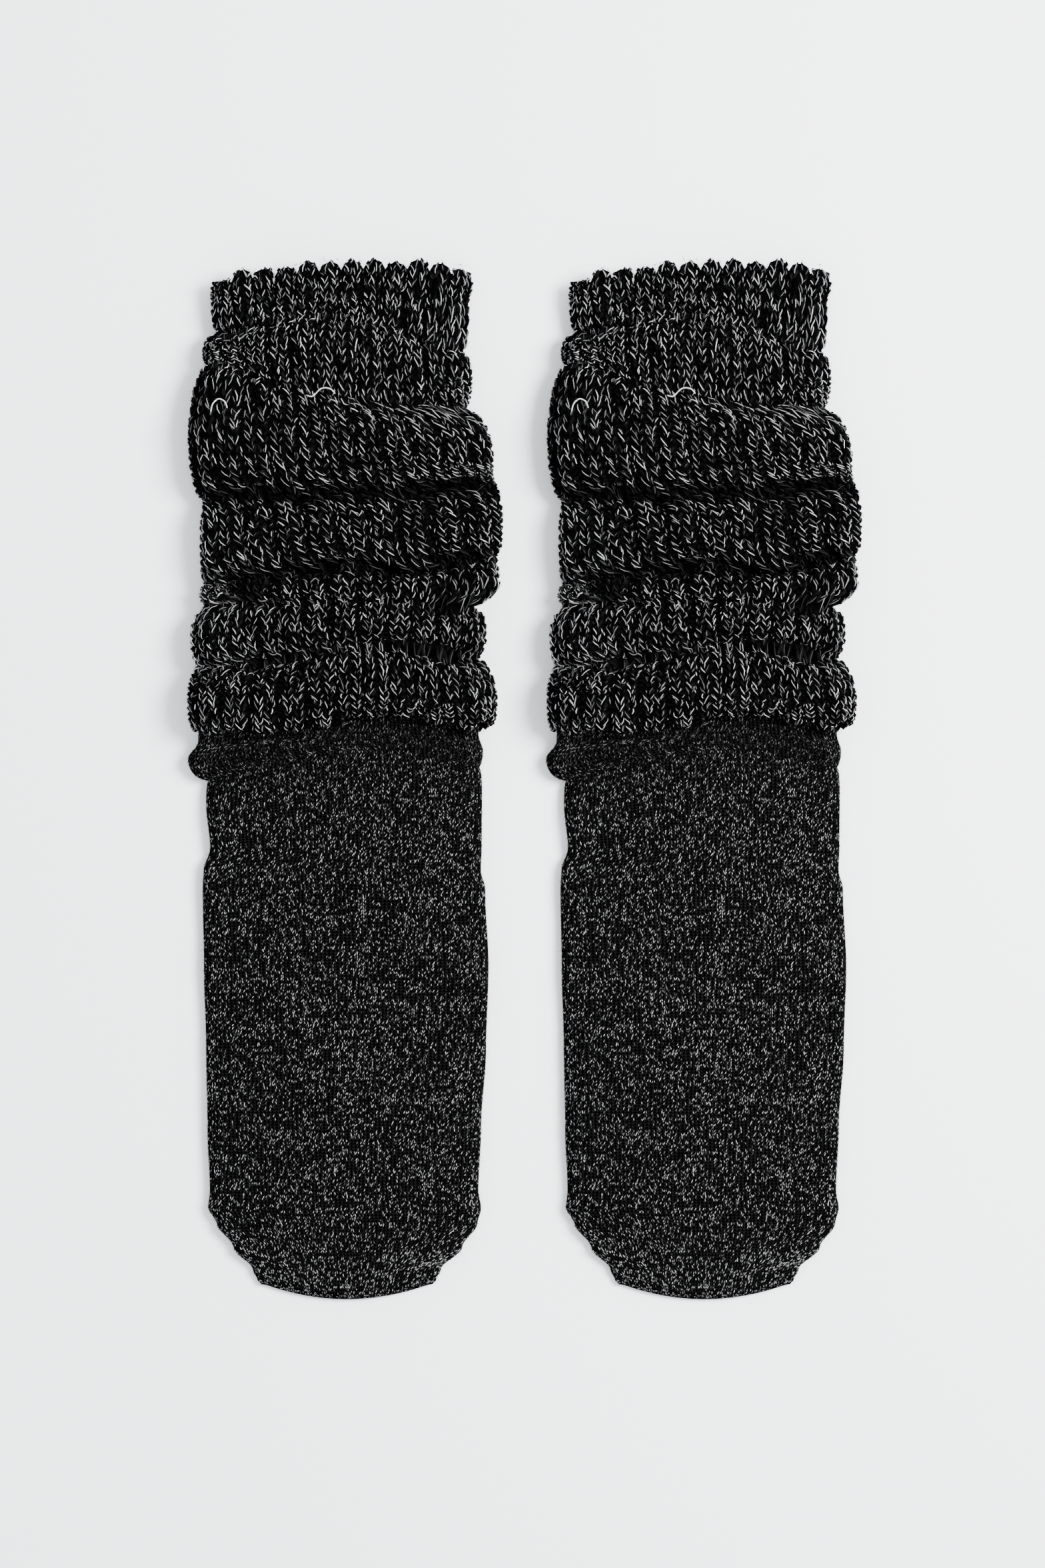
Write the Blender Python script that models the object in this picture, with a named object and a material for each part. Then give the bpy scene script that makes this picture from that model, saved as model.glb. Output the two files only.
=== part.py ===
"""A pair of slouch boot socks, laid flat side by side with the toes towards -Y.

Each sock is two knitted tubes. The leg is a thick ribbed tube, pushed down into
rolls. It is made as its front, which is the upper layer, and its back, which is
the lower layer with both side folds, so that the hollow between them stays open.
The foot is a fine tube that starts inside the leg's hem and is closed at the toe.
The underside rests on z = 0, and the cuffs are open towards +Y.

The outline and the rolls are worked out from two tables, one row for each roll,
crease or change of width. Lengths in the tables are millimetres: along the sock
from the tip of the toe, across it from its middle line, and up from the surface.
"""

import math
from collections import namedtuple

import bmesh
import bpy
from mathutils import Vector

MM = 0.001

# Driving sizes, in millimetres.
SOCK_SPACING = 115.2
LEG_WALL = 2.8
FOOT_WALL = 1.7
PIECE_GAP = 0.35

# The rib of the leg: raised wales all round, crest to valley, and the scalloped cuff.
RIBS_ROUND = 26
RIB_RISE = 1.1
SCALLOP = 2.6

# Rolls: how far past upright the lower flank of a roll turns in, in degrees, and
# how much of a crease's lift is left flat on the surface, in millimetres.
TUCK = 12.0
FLAT_LIFT = 0.25

# How finely each skin is cut: rings from one table row to the next, and points
# round a ring on the top, on each quarter turn of a side, and on the underside.
LEG_CUT = {"rings": 3, "under": 7}
FOOT_CUT = {"rings": 2, "top": 11, "quarter": 3, "under": 7}
LINING_CUT = {"top": 9, "quarter": 3, "under": 7}

# A place round the tube is given by its turn: 0 in the middle of the top, TOP_END
# where a side starts to round over, SIDE_MIDDLE at its widest and UNDER_START where
# the underside begins. It is below 0 on the left.
TOP_END = 1.0
SIDE_SHARE = 0.28
SIDE_MIDDLE = TOP_END + SIDE_SHARE
UNDER_START = TOP_END + 2 * SIDE_SHARE

# The front of the leg ends in the valley beside its eleventh half rib from the middle
# on its outer face, and a little further round on its inner one. The back starts
# after a gap of SEAM_TURN.
FRONT_HALF_RIBS = 11
LINING_FRONT_END = 1.0933
SEAM_TURN = 0.016

MARL_BLACK = (0.020, 0.020, 0.022, 1.0)
FINE_MARL_BLACK = (0.030, 0.030, 0.033, 1.0)
WOOL_ROUGHNESS = 0.92

# Edges sharper than this many degrees, such as those of a rim, are not shaded smooth.
SHARP_ANGLE = 60.0

Row = namedtuple(
    "Row",
    "name kind left middle right sway edge_left edge_right rise_left rise_middle rise_right lift",
)

# From the cuff down to the hem that hangs over the foot. left, middle and right
# are lengths from the toe, and sway bends the line between them. The cloth rounds
# over a crest, turns under into a crease and turns straight down at a brim.
LEG_ROWS = [
    Row("cuff edge", "plain", 328.8, 332.4, 330.8, 0.4, -43.5, 42.5, 10.8, 12.2, 11.0, 0.0),
    Row("cuff waist", "crest", 320.0, 323.0, 319.0, 0.0, -42.2, 40.4, 11.4, 12.8, 11.4, 0.0),
    Row("cuff fold", "crease", 310.6, 315.8, 304.6, 0.0, -40.4, 38.0, 10.8, 12.0, 10.6, 1.0),
    Row("second roll", "crest", 305.0, 308.6, 296.6, 0.0, -44.9, 41.2, 14.0, 15.0, 14.2, 0.0),
    Row("second fold", "crease", 300.2, 289.6, 286.4, 0.0, -43.6, 38.6, 12.4, 14.0, 10.8, 0.6),
    Row("third roll", "crest", 276.6, 275.4, 268.4, 0.0, -49.4, 48.6, 17.6, 18.4, 17.0, 0.0),
    Row("third fold", "crease", 257.8, 259.4, 261.6, 0.0, -44.6, 48.7, 10.8, 11.2, 11.2, 1.0),
    Row("fourth roll", "crest", 246.0, 248.6, 251.0, 0.0, -46.0, 50.8, 16.0, 17.0, 16.8, 0.0),
    Row("fourth fold", "crease", 229.8, 235.2, 238.6, -1.4, -44.4, 49.4, 10.8, 11.4, 11.2, 1.0),
    Row("fifth roll", "crest", 226.4, 229.0, 232.0, 0.0, -46.4, 50.4, 13.6, 17.0, 16.8, 0.0),
    Row("side folds", "crease", 223.2, 224.4, 223.4, 0.0, -43.6, 41.0, 10.8, 16.8, 10.8, 0.8),
    Row("sixth roll", "crest", 213.0, 217.0, 215.4, 0.0, -49.0, 45.9, 16.6, 18.0, 15.4, 0.0),
    Row("sixth fold", "crease", 203.8, 208.6, 206.2, 1.2, -46.6, 41.8, 11.0, 15.6, 10.8, 1.0),
    Row("hem roll", "crest", 193.6, 194.0, 191.6, 0.0, -50.3, 49.3, 18.0, 19.4, 17.6, 0.0),
    Row("hem", "brim", 180.4, 184.2, 182.6, 1.4, -50.8, 49.2, 12.0, 12.8, 12.0, 0.0),
]

# From the end inside the hem down to the toe.
FOOT_ROWS = [
    Row("inner end", "plain", 190.0, 193.0, 191.4, 0.0, -46.0, 43.0, 8.2, 8.8, 8.2, 3.1),
    Row("under the hem", "plain", 179.4, 183.2, 181.6, 1.4, -46.8, 43.6, 8.4, 9.0, 8.4, 3.1),
    Row("ankle roll", "crest", 174.2, 180.8, 176.8, 0.4, -50.2, 45.0, 8.8, 9.6, 8.6, 0.0),
    Row("ankle fold", "crease", 167.2, 176.8, 171.6, 0.4, -43.6, 43.6, 6.0, 8.2, 6.4, 0.0),
    Row("instep", "crest", 160.0, 168.0, 164.4, 0.0, -44.4, 44.7, 6.6, 8.0, 6.8, 0.0),
    Row("heel gore, left", "plain", 145.2, 146.0, 146.0, 0.0, -43.1, 44.6, 6.0, 7.2, 6.0, 0.0),
    Row("heel gore, right", "plain", 138.4, 138.8, 138.2, 0.0, -45.2, 44.3, 6.0, 7.2, 6.0, 0.0),
    Row("below the heel", "plain", 132.6, 132.6, 132.4, 0.0, -45.5, 45.7, 6.0, 7.2, 6.0, 0.0),
    Row("arch", "plain", 107.0, 107.0, 107.0, 0.0, -45.1, 46.8, 5.8, 7.0, 5.8, 0.0),
    Row("ball", "plain", 81.0, 81.0, 81.0, 0.0, -44.4, 46.0, 5.8, 6.8, 5.8, 0.0),
    Row("forefoot", "plain", 55.4, 55.2, 55.4, 0.0, -44.0, 44.4, 5.6, 6.8, 5.6, 0.0),
    Row("above the toe", "plain", 35.0, 34.6, 35.0, 0.0, -43.2, 43.5, 5.4, 6.6, 5.4, 0.0),
    Row("toe corners", "plain", 29.6, 29.0, 29.4, 0.0, -43.8, 44.4, 5.4, 6.4, 5.4, 0.0),
    Row("toe shoulders", "plain", 24.4, 23.4, 24.4, 0.0, -41.0, 43.2, 5.2, 6.2, 5.2, 0.0),
    Row("toe taper", "plain", 16.8, 14.6, 16.8, 0.0, -35.6, 38.3, 5.0, 6.0, 5.0, 0.0),
    Row("toe ears", "plain", 9.4, 5.6, 9.4, 0.0, -29.3, 31.3, 4.6, 5.6, 4.6, 0.0),
    Row("toe edge", "plain", 6.2, 1.6, 6.2, 0.0, -27.9, 29.9, 3.6, 4.4, 3.6, 0.5),
    Row("toe tip", "plain", 4.7, 0.0, 4.7, 0.0, -26.6, 28.6, 2.6, 3.0, 2.6, 1.2),
]


def turned(share, degrees):
    """How far along and how far down an arc has gone, each from 0 to 1."""
    angle, full = math.radians(share * degrees), math.radians(degrees)
    return math.sin(angle) / math.sin(full), (1 - math.cos(angle)) / (1 - math.cos(full))


def progress(row, following, share):
    """The shares of the way that the cloth has gone along and outwards between two rows."""
    if row.kind == "crest" and following.kind == "crease":
        return turned(share, 90 + TUCK)
    if row.kind == "crest" and following.kind == "brim":
        return turned(share, 90)
    if row.kind == "crease" and following.kind == "crest":
        along, down = turned(1 - share, 90)
        return 1 - along, 1 - down
    return share, share * share * (3 - 2 * share)


def between(rows, station):
    """The values of the table at a station: 0 is the first row, 1 the second and so on."""
    index = min(int(station), len(rows) - 2)
    row, following = rows[index], rows[index + 1]
    along, outward = progress(row, following, station - index)

    def mix(field, share):
        first, second = getattr(row, field), getattr(following, field)
        return first + (second - first) * share

    lengths = {field: mix(field, along) for field in ("left", "middle", "right", "sway")}
    widths = {
        field: mix(field, outward)
        for field in ("edge_left", "edge_right", "rise_left", "rise_middle", "rise_right", "lift")
    }
    return row._replace(**lengths, **widths)


def across(left, middle, right, share):
    """A smooth line through three values, at a share from -1 on the left to 1 on the right."""
    return middle + (right - left) / 2 * share + ((left + right) / 2 - middle) * share * share


def section(row, turn, wall=0.0):
    """A point of the flattened tube's section. wall moves the section inwards."""
    side = 1 if turn > 0 else -1
    reach = abs(turn)
    rise_side = row.rise_right if side > 0 else row.rise_left
    edge = row.edge_right if side > 0 else row.edge_left
    round_left = row.edge_left + row.rise_left / 2
    round_right = row.edge_right - row.rise_right / 2
    share = turn if reach <= TOP_END else side
    if reach > UNDER_START:
        share = side * (1 + UNDER_START - reach)
    x = round_left + (round_right - round_left) * (share + 1) / 2
    y = across(row.left, row.middle, row.right, share) + row.sway * math.sin(math.pi * share)
    z = row.lift + wall
    if reach <= TOP_END:
        z = across(row.rise_left, row.rise_middle, row.rise_right, share) - wall
    elif reach <= UNDER_START:
        angle = (reach - TOP_END) / SIDE_SHARE * math.pi / 2
        x = edge - side * (rise_side / 2 - math.sin(angle) * (rise_side / 2 - wall))
        z = (rise_side + row.lift) / 2 + math.cos(angle) * ((rise_side - row.lift) / 2 - wall)
    return Vector((x, y, z))


def under_turns(count):
    """That many turns from the right end of the underside to its left end."""
    turns = [UNDER_START + 2 * (i + 1) / (count + 1) for i in range(count)]
    return [turn if turn <= UNDER_START + 1 else turn - 2 * (UNDER_START + 1) for turn in turns]


def plain_turns(cut):
    """The turns all round a plain tube."""
    upper = [-TOP_END + 2 * TOP_END * i / (cut["top"] - 1) for i in range(cut["top"])]
    side = [TOP_END + SIDE_SHARE * (i + 1) / cut["quarter"] for i in range(2 * cut["quarter"])]
    return upper + side + under_turns(cut["under"]) + [-turn for turn in reversed(side)]


def both_sides(turns, under):
    """The turns of a back: down the right side, along the underside and up the left side."""
    return turns + under_turns(under) + [-turn for turn in reversed(turns)]


def skin_turns():
    """The turns of the leg's outer face, with one on each rib and each valley: the front's and the back's."""
    half = RIBS_ROUND // 2
    front = [SIDE_MIDDLE * i / half for i in range(-FRONT_HALF_RIBS, FRONT_HALF_RIBS + 1)]
    ribs = [SIDE_MIDDLE * i / half for i in range(FRONT_HALF_RIBS + 1, half + 1)]
    side = [front[-1] + SEAM_TURN] + ribs + [(SIDE_MIDDLE + UNDER_START) / 2, UNDER_START]
    return front, both_sides(side, LEG_CUT["under"])


def lining_turns():
    """The turns of the leg's inner face: the front's and the back's."""
    top, quarter = LINING_CUT["top"], LINING_CUT["quarter"]
    upper = [-TOP_END + 2 * TOP_END * i / (top - 1) for i in range(top)]
    front = [-LINING_FRONT_END] + upper + [LINING_FRONT_END]
    rounds = [TOP_END + SIDE_SHARE * (i + 1) / quarter for i in range(1, 2 * quarter)]
    return front, both_sides([LINING_FRONT_END + SEAM_TURN] + rounds, LINING_CUT["under"])


def rib_height(turn):
    """1 on a rib and 0 in a valley. The widest place of each side is a rib."""
    ribs_in_half = RIBS_ROUND / 4
    return (1 + math.cos(2 * math.pi * ribs_in_half * (turn / SIDE_MIDDLE - 1))) / 2


def stations(rows, rings):
    """Where the rings go: that many from each table row to the next, and one between plain rows."""
    places = []
    for index, (row, following) in enumerate(zip(rows, rows[1:])):
        count = 1 if row.kind == following.kind == "plain" else rings
        places += [index + i / count for i in range(count)]
    return places + [len(rows) - 1]


def outwards(rings, i, j):
    """The direction out of the tube at one point of its rings."""
    ring = rings[i]
    along = rings[min(i + 1, len(rings) - 1)][j] - rings[max(i - 1, 0)][j]
    around = ring[(j + 1) % len(ring)] - ring[j - 1]
    return along.cross(around).normalized()


def leg_skin(turns, places):
    """The rings of the leg's outer face, ribbed, from the cuff to the hem."""
    plain = []
    for station in places:
        row = between(LEG_ROWS, station)
        row = row._replace(lift=max(0.0, row.lift - FLAT_LIFT))
        plain.append([section(row, turn) for turn in turns])
    rings = []
    for i, station in enumerate(places):
        ring = []
        for j, turn in enumerate(turns):
            point = plain[i][j]
            if abs(turn) <= SIDE_MIDDLE:
                height = rib_height(turn)
                point = point - outwards(plain, i, j) * RIB_RISE * (1 - height)
                point.y += SCALLOP * height * max(0.0, 1 - station)
            ring.append(point)
        rings.append(ring)
    return rings


def leg_lining(turns):
    """The plain inner face of the leg, ending just clear of the foot inside the hem."""
    rings = []
    for row in LEG_ROWS[:-1]:
        rings.append([section(row._replace(lift=0.0), turn, LEG_WALL) for turn in turns])
    hem, foot = LEG_ROWS[-1], FOOT_ROWS[1]
    sleeve = foot._replace(left=hem.left, middle=hem.middle, right=hem.right, sway=hem.sway)
    rings.append([section(sleeve, turn, -PIECE_GAP) for turn in turns])
    return rings


def foot_skin():
    """The rings of the foot's outer face, from inside the hem to the tip of the toe."""
    turns = plain_turns(FOOT_CUT)
    rows = [between(FOOT_ROWS, station) for station in stations(FOOT_ROWS, FOOT_CUT["rings"])]
    return [[section(row, turn) for turn in turns] for row in rows]


def foot_lining():
    """The inner face of the foot, which stops short of the toe's edge."""
    turns = plain_turns(LINING_CUT)
    return [[section(row, turn, FOOT_WALL) for turn in turns] for row in FOOT_ROWS[:-2]]


def add_rings(mesh, rings):
    """The rings' corners, and the faces that join each ring to the next."""
    corners = [[mesh.verts.new(point * MM) for point in ring] for ring in rings]
    for ring, following in zip(corners, corners[1:]):
        count = len(ring)
        for i in range(count):
            j = (i + 1) % count
            mesh.faces.new((ring[i], ring[j], following[j], following[i]))
    return corners


def loop_edges(mesh, ring):
    """The edges of a ring of corners."""
    return [mesh.edges.get((ring[i], ring[(i + 1) % len(ring)])) for i in range(len(ring))]


def join_rims(mesh, outer, inner):
    """Joins the rim of the outer face to the rim of the inner one."""
    bmesh.ops.bridge_loops(mesh, edges=loop_edges(mesh, outer) + loop_edges(mesh, inner))


def close_flat(mesh, ring, top):
    """Closes a flat tube's end: each corner of the top meets the one below it."""
    count = len(ring)
    left = (count + top) // 2 + 1
    order = [ring[(left + i) % count] for i in range(count)]
    first, last = 0, count - 1
    while last - first > 2:
        mesh.faces.new((order[first], order[first + 1], order[last - 1], order[last]))
        first, last = first + 1, last - 1
    if last - first == 2:
        mesh.faces.new((order[first], order[first + 1], order[last]))


def finish_mesh(mesh, name):
    """A triangulated mesh with its faces outwards, smooth but for its rims."""
    bmesh.ops.triangulate(mesh, faces=mesh.faces[:])
    bmesh.ops.recalc_face_normals(mesh, faces=mesh.faces[:])
    data = bpy.data.meshes.new(name)
    mesh.to_mesh(data)
    mesh.free()
    data.shade_smooth()
    data.set_sharp_from_angle(angle=math.radians(SHARP_ANGLE))
    return data


def add_layer(mesh, rows):
    """The corners of an open layer, and the faces between them."""
    corners = [[mesh.verts.new(point * MM) for point in row] for row in rows]
    for row, following in zip(corners, corners[1:]):
        for i in range(len(row) - 1):
            mesh.faces.new((row[i], row[i + 1], following[i + 1], following[i]))
    return corners


def zip_lines(mesh, first, second):
    """Joins two lines of corners with triangles. Each line is pairs of a place and a corner."""
    i, j = 0, 0
    while i < len(first) - 1 or j < len(second) - 1:
        ahead = i < len(first) - 1 and (j == len(second) - 1 or first[i + 1][0] <= second[j + 1][0])
        if ahead:
            mesh.faces.new((first[i][1], first[i + 1][1], second[j][1]))
            i += 1
        else:
            mesh.faces.new((first[i][1], second[j + 1][1], second[j][1]))
            j += 1


def panel_mesh(name, skin, lining, places, skin_round, lining_round):
    """One piece of the leg: its outer and inner layers, joined along all four edges."""
    mesh = bmesh.new()
    outer, inner = add_layer(mesh, skin), add_layer(mesh, lining)
    rows = list(range(len(lining)))
    for end in (0, -1):
        zip_lines(mesh, list(zip(skin_round, outer[end])), list(zip(lining_round, inner[end])))
        outer_edge = [(place, row[end]) for place, row in zip(places, outer)]
        zip_lines(mesh, outer_edge, [(place, row[end]) for place, row in zip(rows, inner)])
    return finish_mesh(mesh, name)


def leg_meshes():
    """The leg's front and back, which together are a ribbed tube in rolls, open at both ends."""
    (skin_front, skin_back), (lining_front, lining_back) = skin_turns(), lining_turns()
    places = stations(LEG_ROWS, LEG_CUT["rings"])
    skin = leg_skin(skin_front + skin_back, places)
    lining = leg_lining(lining_front + lining_back)
    full = 2 * (UNDER_START + 1)
    outer, inner = len(skin_front), len(lining_front)
    front_skin, back_skin = [row[:outer] for row in skin], [row[outer:] for row in skin]
    front_lining, back_lining = [row[:inner] for row in lining], [row[inner:] for row in lining]
    skin_round = [turn % full for turn in skin_back]
    lining_round = [turn % full for turn in lining_back]
    return {
        "front": panel_mesh("front", front_skin, front_lining, places, skin_front, lining_front),
        "back": panel_mesh("back", back_skin, back_lining, places, skin_round, lining_round),
    }


def foot_mesh():
    """The foot: a flat tube, open inside the hem and closed at the toe."""
    mesh = bmesh.new()
    outer = add_rings(mesh, foot_skin())
    inner = add_rings(mesh, foot_lining())
    join_rims(mesh, outer[0], inner[0])
    close_flat(mesh, outer[-1], FOOT_CUT["top"])
    close_flat(mesh, inner[-1], LINING_CUT["top"])
    return finish_mesh(mesh, "foot")


def wool(name, colour):
    """A matt wool material."""
    material = bpy.data.materials.new(name)
    material.use_nodes = True
    shader = material.node_tree.nodes["Principled BSDF"]
    shader.inputs["Base Color"].default_value = colour
    shader.inputs["Roughness"].default_value = WOOL_ROUGHNESS
    shader.inputs["Metallic"].default_value = 0.0
    material.diffuse_color = colour
    return material


def middle_of(meshes, axis):
    """The middle of the sock's box along one axis."""
    values = [corner.co[axis] for data in meshes.values() for corner in data.vertices]
    return (min(values) + max(values)) / 2


def place_sock(side, x, meshes):
    """One sock of the pair: its pieces as objects, with the pair's box centred."""
    for piece, data in meshes.items():
        sock_piece = bpy.data.objects.new(piece.format(side), data)
        sock_piece.location = (x - middle_of(meshes, 0), -middle_of(meshes, 1), 0.0)
        bpy.context.scene.collection.objects.link(sock_piece)


def main():
    for old in list(bpy.data.objects):
        bpy.data.objects.remove(old)
    leg = leg_meshes()
    meshes = {"leg_{}_front": leg["front"], "leg_{}_back": leg["back"], "foot_{}": foot_mesh()}
    chunky = wool("chunky_marl", MARL_BLACK)
    meshes["leg_{}_front"].materials.append(chunky)
    meshes["leg_{}_back"].materials.append(chunky)
    meshes["foot_{}"].materials.append(wool("fine_marl", FINE_MARL_BLACK))
    place_sock("left", -SOCK_SPACING / 2 * MM, meshes)
    place_sock("right", SOCK_SPACING / 2 * MM, meshes)


main()
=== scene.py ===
"""A pair of slouch boot socks laid flat: knitted cloth, stitches and off-white ply."""

import math

import bmesh
import bpy
import numpy as np
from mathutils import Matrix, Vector


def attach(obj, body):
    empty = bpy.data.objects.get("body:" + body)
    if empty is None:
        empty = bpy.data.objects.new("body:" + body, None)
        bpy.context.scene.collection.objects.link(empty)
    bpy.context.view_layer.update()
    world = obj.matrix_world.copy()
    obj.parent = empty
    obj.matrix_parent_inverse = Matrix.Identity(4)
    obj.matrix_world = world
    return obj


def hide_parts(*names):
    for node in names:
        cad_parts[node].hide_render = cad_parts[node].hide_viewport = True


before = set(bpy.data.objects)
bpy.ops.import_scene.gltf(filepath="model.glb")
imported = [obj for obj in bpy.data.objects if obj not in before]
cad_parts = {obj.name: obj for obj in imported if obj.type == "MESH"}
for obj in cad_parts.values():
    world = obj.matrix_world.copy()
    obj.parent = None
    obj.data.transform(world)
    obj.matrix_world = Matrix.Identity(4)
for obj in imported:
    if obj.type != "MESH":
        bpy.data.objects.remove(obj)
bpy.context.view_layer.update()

# Lengths are in millimetres, x from the sock's middle line and y from its toe, until place()
# turns them into the frame's metres. A course is a row of stitches and a wale a column of them.
MM = 0.001
SIDES = (("left", -57.6), ("right", 57.6))
TOE_TO_MIDDLE = 167.694
TABLE_GAP = 0.02

# The rolls and folds of the leg. left, middle and right say where a row lies, from the toe, and
# sway bends it. The edges are its ends, rise and lift the heights of the upper and lower layer.
# lean is how far the ribs have been pushed to the right there.
# name, kind,
# left, middle, right, sway, edge_left, edge_right, rise_left, rise_middle, rise_right, lift,
# lean_left, lean_middle, lean_right
LEG_ROWS = [
    ("cuff edge", "plain",
     328.8, 332.4, 330.8, 0.4, -43.5, 42.5, 10.8, 12.2, 11, 0, 0, 0, 0),
    ("cuff waist", "crest",
     320, 323, 319, 0, -42.2, 40.4, 11.4, 12.8, 11.4, 0, 0, 0, 0),
    ("cuff fold", "crease",
     310.6, 315.8, 304.6, 0, -40.4, 38, 10.8, 12, 10.6, 1, 0, 0, 0),
    ("second roll", "crest",
     305, 308.6, 296.6, 0, -44.9, 41.2, 14, 15, 14.2, 0, 0, 0, 0.5),
    ("second fold", "crease",
     300.2, 289.6, 286.4, 0, -43.6, 38.6, 12.4, 14, 10.8, 0.6, 0, 0.5, 3),
    ("third roll", "crest",
     276.6, 275.4, 268.4, 0, -49.4, 48.6, 17.6, 18.4, 17, 0, 0, 5, 14),
    ("third fold", "crease",
     257.8, 259.4, 261.6, 0, -44.6, 48.7, 10.8, 11.2, 11.2, 1, 0.5, 10, 25),
    ("fourth roll", "crest",
     246, 248.6, 251, 0, -46, 50.8, 16, 17, 16.8, 0, 6, 16.5, 31),
    ("fourth fold", "crease",
     229.8, 235.2, 238.6, -1.4, -44.4, 49.4, 10.8, 11.4, 11.2, 1, 12, 23, 36),
    ("fifth roll", "crest",
     226.4, 229, 232, 0, -46.4, 50.4, 13.6, 17, 16.8, 0, 13, 23.5, 33),
    ("side folds", "crease",
     223.2, 224.4, 223.4, 0, -43.6, 41, 10.8, 16.8, 10.8, 0.8, 14, 24, 28),
    ("sixth roll", "crest",
     213, 217, 215.4, 0, -49, 45.9, 16.6, 18, 15.4, 0, 17, 24, 22),
    ("sixth fold", "crease",
     203.8, 208.6, 206.2, 1.2, -46.6, 41.8, 11, 15.6, 10.8, 1, 20, 24, 20),
    ("hem roll", "crest",
     193.6, 194, 191.6, 0, -50.3, 49.3, 18, 19.4, 17.6, 0, 21, 24.5, 20),
    ("hem", "brim",
     180.4, 184.2, 182.6, 1.4, -50.8, 49.2, 12, 12.8, 12, 0, 21, 25, 22),
]
# The outline of the foot, from inside the leg's hem to the toe, without a lean.
FOOT_ROWS = [
    ("inner end", "plain", 190, 193, 191.4, 0, -46, 43, 8.2, 8.8, 8.2, 3.1),
    ("under the hem", "plain", 179.4, 183.2, 181.6, 1.4, -46.8, 43.6, 8.4, 9, 8.4, 3.1),
    ("ankle roll", "crest", 174.2, 180.8, 176.8, 0.4, -50.2, 45, 8.8, 9.6, 8.6, 0),
    ("ankle fold", "crease", 167.2, 176.8, 171.6, 0.4, -43.6, 43.6, 6, 8.2, 6.4, 0),
    ("instep", "crest", 160, 168, 164.4, 0, -44.4, 44.7, 6.6, 8, 6.8, 0),
    ("heel gore, left", "plain", 145.2, 146, 146, 0, -43.1, 44.6, 6, 7.2, 6, 0),
    ("heel gore, right", "plain", 138.4, 138.8, 138.2, 0, -45.2, 44.3, 6, 7.2, 6, 0),
    ("below the heel", "plain", 132.6, 132.6, 132.4, 0, -45.5, 45.7, 6, 7.2, 6, 0),
    ("arch", "plain", 107, 107, 107, 0, -45.1, 46.8, 5.8, 7, 5.8, 0),
    ("ball", "plain", 81, 81, 81, 0, -44.4, 46, 5.8, 6.8, 5.8, 0),
    ("forefoot", "plain", 55.4, 55.2, 55.4, 0, -44, 44.4, 5.6, 6.8, 5.6, 0),
    ("above the toe", "plain", 35, 34.6, 35, 0, -43.2, 43.5, 5.4, 6.6, 5.4, 0),
    ("toe corners", "plain", 29.6, 29, 29.4, 0, -43.8, 44.4, 5.4, 6.4, 5.4, 0),
    ("toe shoulders", "plain", 24.4, 23.4, 24.4, 0, -41, 43.2, 5.2, 6.2, 5.2, 0),
    ("toe taper", "plain", 16.8, 14.6, 16.8, 0, -35.6, 38.3, 5, 6, 5, 0),
    ("toe ears", "plain", 9.4, 5.6, 9.4, 0, -29.3, 31.3, 4.6, 5.6, 4.6, 0),
    ("toe edge", "plain", 6.2, 1.6, 6.2, 0, -27.9, 29.9, 3.6, 4.4, 3.6, 0.5),
    ("toe tip", "plain", 4.7, 0, 4.7, 0, -26.6, 28.6, 2.6, 3, 2.6, 1.2),
]
PLACES = slice(0, 4)
LEAN = slice(10, 13)

# How much deeper than the solids the folds run, and their half width along the cloth.
# name of the row, left, middle, right, half width
LEG_FOLDS = [
    ("cuff fold", 0.7, 0.5, 0.7, 2.4),
    ("second fold", 0.3, 0.3, 1.8, 2.6),
    ("third fold", 2.8, 3.8, 3.3, 3.4),
    ("fourth fold", 2.8, 3.9, 3.4, 3.4),
    ("side folds", 1.4, 0.1, 1.2, 2.6),
    ("sixth fold", 1.4, 0.5, 1, 2.4),
]
FOOT_FOLDS = [
    ("ankle fold", 0.6, 0.2, 0.5, 2.6),
]

# Small folds and dents that the solids leave out, each along its own line.
# name, x at its middle, y from the toe, half length, half width, depth, slope, bend of the line
LEG_DENTS = [
    ("left of the fourth fold", -31, 227.5, 5, 2.4, 3.6, -0.10, 0),
    ("fourth fold, lower branch", -30, 228.6, 14, 1.5, 2.6, 0.20, 0),
    ("third fold, middle hole", 8, 260.4, 3.5, 1.8, 2, 0.10, 0),
    ("third fold, left hole", -25.5, 258.4, 4.5, 1.6, 2, 0.10, 0),
    ("third fold, right end", 40, 262, 12, 1, 1.8, 0.05, 0),
    ("sixth fold, left", -38, 203.4, 12, 1.8, 3.2, 0.02, 0),
    ("sixth fold, right", 29, 209, 13, 2.3, 2.6, -0.18, 0),
    ("sixth fold, hole", 33, 209.6, 3.5, 2.4, 0.9, 0, 0),
    ("side fold, right", 33.5, 221.6, 9, 2.1, 2.4, 0.20, 0),
    ("left end of the hem roll", -41, 188.5, 9, 2.2, 2.6, 0.05, 0),
    ("third roll, upper left", -20, 284, 16, 4.5, 1, 0.10, 0),
    ("third roll, middle", 6, 268, 15, 4, 0.9, -0.18, 0),
    ("fourth roll, right", 22, 252, 14, 4, 0.9, 0.30, 0),
    ("fifth roll, right", 33, 236, 9, 2.6, 1.2, 0.35, 0),
    ("sixth roll, middle", 4, 213, 16, 3, 1, 0.12, 0),
    ("hem roll, middle", -8, 200.5, 18, 3, 0.9, -0.08, 0),
    ("hem roll, right", 27, 197, 12, 2.8, 0.9, 0.20, 0),
    ("cuff, left", -16, 322, 9, 4, 0.6, 0.1, 0),
]
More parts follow.
